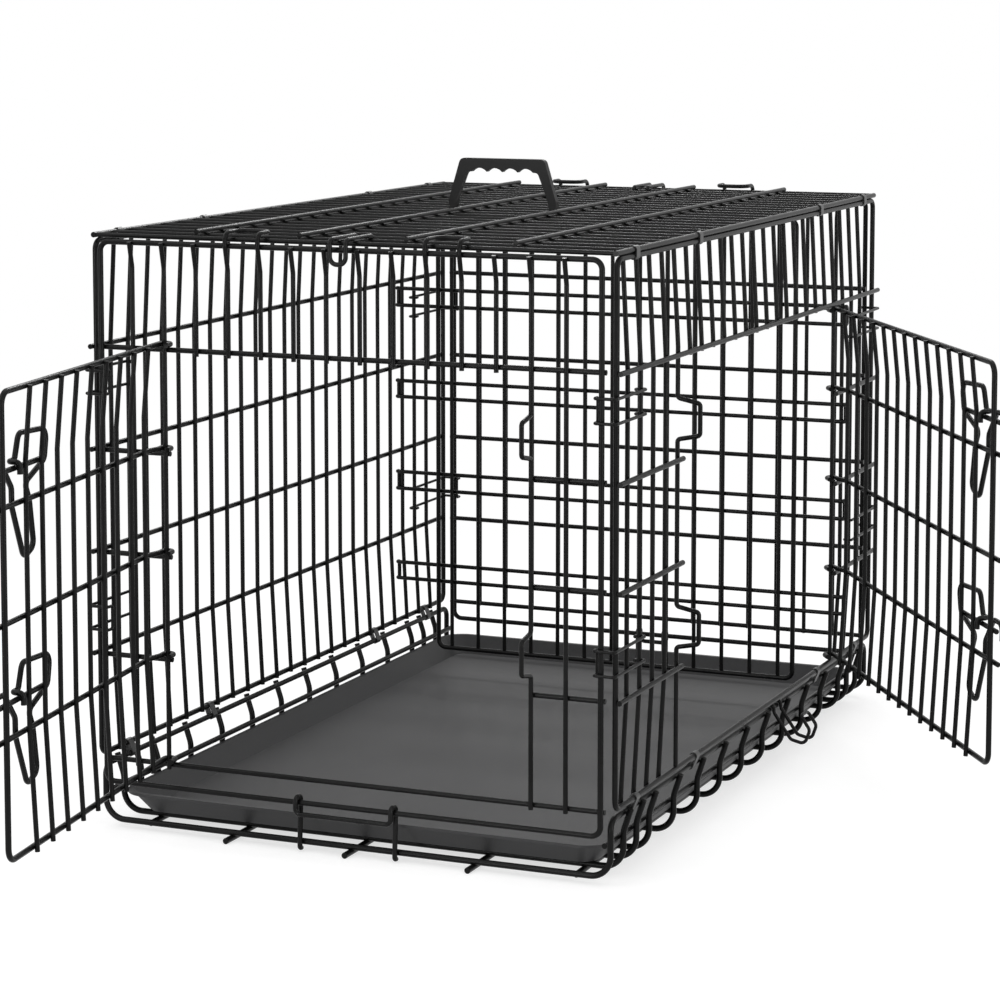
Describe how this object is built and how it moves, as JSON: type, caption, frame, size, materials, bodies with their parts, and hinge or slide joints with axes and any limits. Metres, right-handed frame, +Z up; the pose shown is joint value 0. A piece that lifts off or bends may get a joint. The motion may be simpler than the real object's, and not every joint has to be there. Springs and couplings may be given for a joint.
{
  "type": "folding wire dog crate",
  "caption": "Two-door folding wire pet crate with slide-bolt latches, sliding floor tray, hooked divider grille and fold-down carry handle",
  "frame": {"origin": "on the floor at the centre of the base", "axes": "+X to the side with the side door, +Y from the door end to the far end, +Z up"},
  "size_m": [0.9272, 1.3542, 0.7086],
  "materials": {
    "wire": "black semi-gloss electro-coat",
    "hinge_clips": "black coated sheet steel",
    "tray": "charcoal moulded plastic",
    "handle": "black moulded plastic"
  },
  "bodies": {
    "crate": {"base_cross_wires": "wire", "base_long_wires": "wire", "base_side_rails": "wire", "left_panel_frame": "wire", "right_panel_frame": "wire", "left_panel_rows": "wire", "left_panel_wires": "wire", "right_panel_rows": "wire", "right_panel_wires": "wire", "side_catch_wire": "wire", "front_panel_frame": "wire", "rear_panel_frame": "wire", "rear_panel_rows": "wire", "rear_panel_wires": "wire", "front_panel_rows": "wire", "front_panel_wires": "wire", "front_catch_wire": "wire", "top_side_rails": "wire", "top_cross_wires": "wire", "top_long_bars": "wire", "left_base_clips": "hinge_clips", "left_top_clips": "hinge_clips", "right_base_clips": "hinge_clips", "right_top_clips": "hinge_clips", "front_corner_clips": "wire", "rear_corner_clips": "wire", "rear_base_hook": "wire"},
    "front_door": {"front_door_frame": "wire", "front_door_rows": "wire", "front_door_wires": "wire", "front_door_guides": "wire"},
    "side_door": {"side_door_frame": "wire", "side_door_rows": "wire", "side_door_wires": "wire", "side_door_guides": "wire"},
    "front_latch_upper": {"front_latch_upper": "wire"},
    "front_latch_lower": {"front_latch_lower": "wire"},
    "side_latch_upper": {"side_latch_upper": "wire"},
    "side_latch_lower": {"side_latch_lower": "wire"},
    "tray": {"tray": "tray"},
    "handle": {"handle": "handle"},
    "tray_stop": {"tray_stop": "wire"},
    "front_top_hook": {"front_top_hook": "wire"},
    "rear_top_hook": {"rear_top_hook": "wire"},
    "carry_clasp": {"carry_clasp": "wire"},
    "divider": {"divider_frame": "wire", "divider_rows": "wire", "divider_wires": "wire"}
  },
  "joints": [
    {"name": "front_door_hinge", "type": "hinge", "parent": "crate", "child": "front_door", "pos_m": [-0.209, -0.4645, 0.3], "axis": [0, 0, -1], "range_deg": [-81.8, 68]},
    {"name": "side_door_hinge", "type": "hinge", "parent": "crate", "child": "side_door", "pos_m": [0.2975, 0.2875, 0.3], "axis": [0, 0, 1], "range_deg": [-34, 95]},
    {"name": "front_latch_upper_slide", "type": "slide", "parent": "front_door", "child": "front_latch_upper", "axis": [0.1392, -0.9903, 0], "range_m": [0, 0.026]},
    {"name": "front_latch_lower_slide", "type": "slide", "parent": "front_door", "child": "front_latch_lower", "axis": [0.1392, -0.9903, 0], "range_m": [0, 0.026]},
    {"name": "side_latch_upper_slide", "type": "slide", "parent": "side_door", "child": "side_latch_upper", "axis": [0.5592, -0.829, 0], "range_m": [0, 0.026]},
    {"name": "side_latch_lower_slide", "type": "slide", "parent": "side_door", "child": "side_latch_lower", "axis": [0.5592, -0.829, 0], "range_m": [0, 0.026]},
    {"name": "tray_slide", "type": "slide", "parent": "crate", "child": "tray", "axis": [0, -1, 0], "range_m": [-0.008, 0.008]},
    {"name": "handle_fold", "type": "hinge", "parent": "crate", "child": "handle", "pos_m": [-0.0095, -0.01824, 0.6441], "axis": [1, 0, 0], "range_deg": [-60, 60]},
    {"name": "tray_stop_swing", "type": "hinge", "parent": "crate", "child": "tray_stop", "pos_m": [0, -0.465, 0.054], "axis": [-1, 0, 0], "range_deg": [0, 100]},
    {"name": "front_top_hook_lift", "type": "hinge", "parent": "crate", "child": "front_top_hook", "pos_m": [0, -0.41952, 0.6441], "axis": [-1, 0, 0], "range_deg": [0, 95]},
    {"name": "rear_top_hook_lift", "type": "hinge", "parent": "crate", "child": "rear_top_hook", "pos_m": [0, 0.41952, 0.6441], "axis": [1, 0, 0], "range_deg": [0, 95]},
    {"name": "carry_clasp_swing", "type": "hinge", "parent": "crate", "child": "carry_clasp", "pos_m": [0.29246, 0.0772, 0.069], "axis": [0, -1, 0], "range_deg": [-15, 40]},
    {"name": "divider_unhook", "type": "slide", "parent": "crate", "child": "divider", "axis": [0, -1, 0], "range_m": [0, 0.012]}
  ]
}
